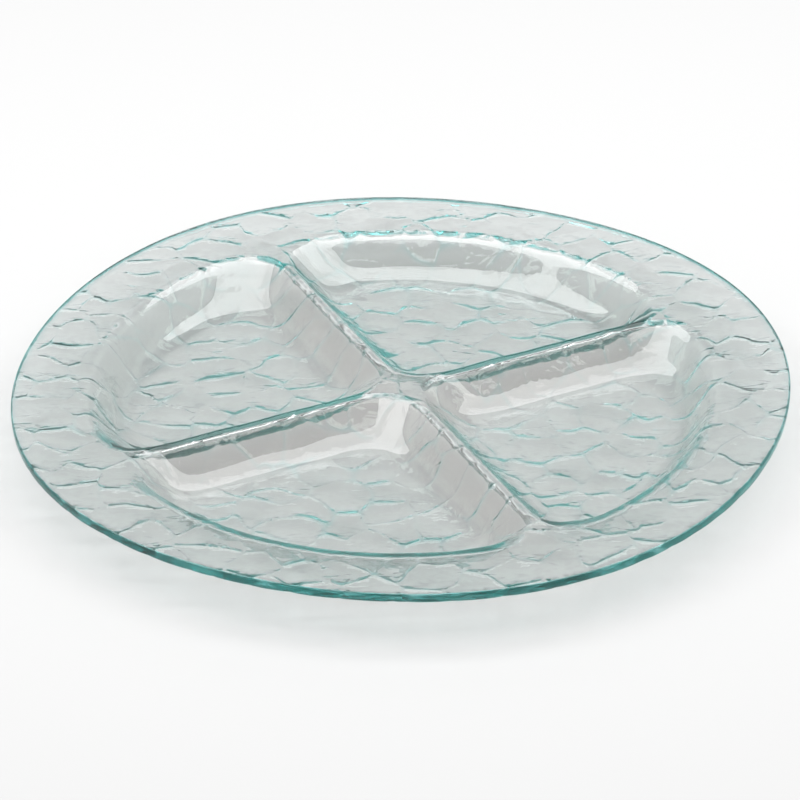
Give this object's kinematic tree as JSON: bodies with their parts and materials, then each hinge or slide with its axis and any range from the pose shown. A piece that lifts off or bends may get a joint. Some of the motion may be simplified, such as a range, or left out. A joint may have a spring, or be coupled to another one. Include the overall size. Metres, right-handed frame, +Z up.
{
  "type": "chip and dip server",
  "caption": "Round platter of clear textured glass, slumped into wells parted by crossing ridges, with a wide flat rim, for chips and dips.",
  "frame": {"origin": "on the table, under the middle of the platter", "axes": "+Z up, out of the wells; one divider runs 26 degrees anticlockwise from +X, the other at right angles to it"},
  "size_m": [0.4054, 0.4054, 0.026],
  "materials": {
    "glass": "clear float glass with a green tint, fire-polished top face, cobbled underside"
  },
  "bodies": {
    "root": {"glass_platter": "glass"}
  },
  "joints": []
}
